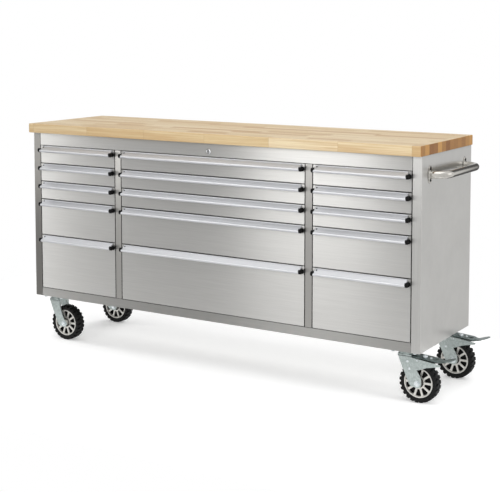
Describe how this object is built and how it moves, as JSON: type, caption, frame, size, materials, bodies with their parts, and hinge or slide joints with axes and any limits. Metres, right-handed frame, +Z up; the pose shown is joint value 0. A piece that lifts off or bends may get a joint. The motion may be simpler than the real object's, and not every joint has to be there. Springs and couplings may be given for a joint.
{
  "type": "rolling tool chest",
  "caption": "Long stainless-steel tool chest on swivel casters: columns of sliding drawers under a wooden worktop, with a push handle and foot brakes at one end.",
  "frame": {"origin": "on the floor under the middle of the bounding box", "axes": "+X towards the end with the push handle, -Y the way the drawers open, +Z up"},
  "size_m": [1.9336, 0.508, 0.9504],
  "materials": {
    "stainless_steel": "brushed stainless sheet",
    "butcher_block": "finger-jointed hardwood staves, satin lacquer",
    "anodised_aluminium": "satin anodised extrusion",
    "polished_steel": "polished tube",
    "zinc_plate": "bright zinc plate",
    "dark_zinc": "dark passivated zinc",
    "silver_rim": "silver lacquer",
    "tyre_rubber": "moulded rubber",
    "lock_chrome": "nickel-chrome plate",
    "black_plastic": "moulded end cap"
  },
  "bodies": {
    "chest": {"left_side_panel": "stainless_steel", "right_side_panel": "stainless_steel", "header_rail": "stainless_steel", "base_pan": "stainless_steel", "back_panel": "stainless_steel", "left_divider": "stainless_steel", "right_divider": "stainless_steel", "worktop": "butcher_block", "lock_housing": "lock_chrome", "push_handle": "polished_steel", "caster_plate_front_left": "zinc_plate", "caster_plate_rear_left": "zinc_plate", "caster_plate_front_right": "zinc_plate", "caster_plate_rear_right": "zinc_plate"},
    "lock_plug": {"lock_plug": "lock_chrome"},
    "drawer_left_1": {"drawer_left_1": "stainless_steel", "handle_left_1": "anodised_aluminium"},
    "drawer_left_2": {"drawer_left_2": "stainless_steel", "handle_left_2": "anodised_aluminium"},
    "drawer_left_3": {"drawer_left_3": "stainless_steel", "handle_left_3": "anodised_aluminium"},
    "drawer_left_4": {"drawer_left_4": "stainless_steel", "handle_left_4": "anodised_aluminium"},
    "drawer_left_5": {"drawer_left_5": "stainless_steel", "handle_left_5": "anodised_aluminium"},
    "drawer_centre_1": {"drawer_centre_1": "stainless_steel", "handle_centre_1": "anodised_aluminium"},
    "drawer_centre_2": {"drawer_centre_2": "stainless_steel", "handle_centre_2": "anodised_aluminium"},
    "drawer_centre_3": {"drawer_centre_3": "stainless_steel", "handle_centre_3": "anodised_aluminium"},
    "drawer_centre_4": {"drawer_centre_4": "stainless_steel", "handle_centre_4": "anodised_aluminium"},
    "drawer_centre_5": {"drawer_centre_5": "stainless_steel", "handle_centre_5": "anodised_aluminium"},
    "drawer_right_1": {"drawer_right_1": "stainless_steel", "handle_right_1": "anodised_aluminium"},
    "drawer_right_2": {"drawer_right_2": "stainless_steel", "handle_right_2": "anodised_aluminium"},
    "drawer_right_3": {"drawer_right_3": "stainless_steel", "handle_right_3": "anodised_aluminium"},
    "drawer_right_4": {"drawer_right_4": "stainless_steel", "handle_right_4": "anodised_aluminium"},
    "drawer_right_5": {"drawer_right_5": "stainless_steel", "handle_right_5": "anodised_aluminium"},
    "caster_front_left": {"fork_front_left": "zinc_plate"},
    "wheel_front_left": {"rim_front_left": "silver_rim", "tyre_front_left": "tyre_rubber"},
    "caster_rear_left": {"fork_rear_left": "zinc_plate"},
    "wheel_rear_left": {"rim_rear_left": "silver_rim", "tyre_rear_left": "tyre_rubber"},
    "caster_front_right": {"fork_front_right": "zinc_plate"},
    "wheel_front_right": {"rim_front_right": "silver_rim", "tyre_front_right": "tyre_rubber"},
    "brake_front_right": {"brake_pedal_front_right": "dark_zinc"},
    "caster_rear_right": {"fork_rear_right": "zinc_plate"},
    "wheel_rear_right": {"rim_rear_right": "silver_rim", "tyre_rear_right": "tyre_rubber"},
    "brake_rear_right": {"brake_pedal_rear_right": "dark_zinc"}
  },
  "joints": [
    {"name": "lock_turn", "type": "hinge", "parent": "chest", "child": "lock_plug", "pos_m": [-0.05225, -0.226, 0.8771], "axis": [0, 1, 0], "range_deg": [0, 90]},
    {"name": "slide_left_1", "type": "slide", "parent": "chest", "child": "drawer_left_1", "axis": [0, -1, 0], "range_m": [0, 0.38]},
    {"name": "slide_left_2", "type": "slide", "parent": "chest", "child": "drawer_left_2", "axis": [0, -1, 0], "range_m": [0, 0.38]},
    {"name": "slide_left_3", "type": "slide", "parent": "chest", "child": "drawer_left_3", "axis": [0, -1, 0], "range_m": [0, 0.38]},
    {"name": "slide_left_4", "type": "slide", "parent": "chest", "child": "drawer_left_4", "axis": [0, -1, 0], "range_m": [0, 0.38]},
    {"name": "slide_left_5", "type": "slide", "parent": "chest", "child": "drawer_left_5", "axis": [0, -1, 0], "range_m": [0, 0.38]},
    {"name": "slide_centre_1", "type": "slide", "parent": "chest", "child": "drawer_centre_1", "axis": [0, -1, 0], "range_m": [0, 0.38]},
    {"name": "slide_centre_2", "type": "slide", "parent": "chest", "child": "drawer_centre_2", "axis": [0, -1, 0], "range_m": [0, 0.38]},
    {"name": "slide_centre_3", "type": "slide", "parent": "chest", "child": "drawer_centre_3", "axis": [0, -1, 0], "range_m": [0, 0.38]},
    {"name": "slide_centre_4", "type": "slide", "parent": "chest", "child": "drawer_centre_4", "axis": [0, -1, 0], "range_m": [0, 0.38]},
    {"name": "slide_centre_5", "type": "slide", "parent": "chest", "child": "drawer_centre_5", "axis": [0, -1, 0], "range_m": [0, 0.38]},
    {"name": "slide_right_1", "type": "slide", "parent": "chest", "child": "drawer_right_1", "axis": [0, -1, 0], "range_m": [0, 0.38]},
    {"name": "slide_right_2", "type": "slide", "parent": "chest", "child": "drawer_right_2", "axis": [0, -1, 0], "range_m": [0, 0.38]},
    {"name": "slide_right_3", "type": "slide", "parent": "chest", "child": "drawer_right_3", "axis": [0, -1, 0], "range_m": [0, 0.38]},
    {"name": "slide_right_4", "type": "slide", "parent": "chest", "child": "drawer_right_4", "axis": [0, -1, 0], "range_m": [0, 0.38]},
    {"name": "slide_right_5", "type": "slide", "parent": "chest", "child": "drawer_right_5", "axis": [0, -1, 0], "range_m": [0, 0.38]},
    {"name": "swivel_front_left", "type": "hinge", "parent": "chest", "child": "caster_front_left", "pos_m": [-0.88525, -0.162, 0.17], "axis": [0, 0, 1], "continuous": true},
    {"name": "roll_front_left", "type": "hinge", "parent": "caster_front_left", "child": "wheel_front_left", "pos_m": [-0.83525, -0.162, 0.075], "axis": [0, 1, 0], "continuous": true},
    {"name": "swivel_rear_left", "type": "hinge", "parent": "chest", "child": "caster_rear_left", "pos_m": [-0.88525, 0.19, 0.17], "axis": [0, 0, 1], "continuous": true},
    {"name": "roll_rear_left", "type": "hinge", "parent": "caster_rear_left", "child": "wheel_rear_left", "pos_m": [-0.83525, 0.19, 0.075], "axis": [0, 1, 0], "continuous": true},
    {"name": "swivel_front_right", "type": "hinge", "parent": "chest", "child": "caster_front_right", "pos_m": [0.78075, -0.162, 0.17], "axis": [0, 0, 1], "continuous": true},
    {"name": "roll_front_right", "type": "hinge", "parent": "caster_front_right", "child": "wheel_front_right", "pos_m": [0.83075, -0.162, 0.075], "axis": [0, 1, 0], "continuous": true},
    {"name": "brake_front_right", "type": "hinge", "parent": "caster_front_right", "child": "brake_front_right", "pos_m": [0.79375, -0.162, 0.1544], "axis": [0, 1, 0], "range_deg": [0, 7]},
    {"name": "swivel_rear_right", "type": "hinge", "parent": "chest", "child": "caster_rear_right", "pos_m": [0.78075, 0.19, 0.17], "axis": [0, 0, 1], "continuous": true},
    {"name": "roll_rear_right", "type": "hinge", "parent": "caster_rear_right", "child": "wheel_rear_right", "pos_m": [0.83075, 0.19, 0.075], "axis": [0, 1, 0], "continuous": true},
    {"name": "brake_rear_right", "type": "hinge", "parent": "caster_rear_right", "child": "brake_rear_right", "pos_m": [0.79375, 0.19, 0.1544], "axis": [0, 1, 0], "range_deg": [0, 7]}
  ]
}
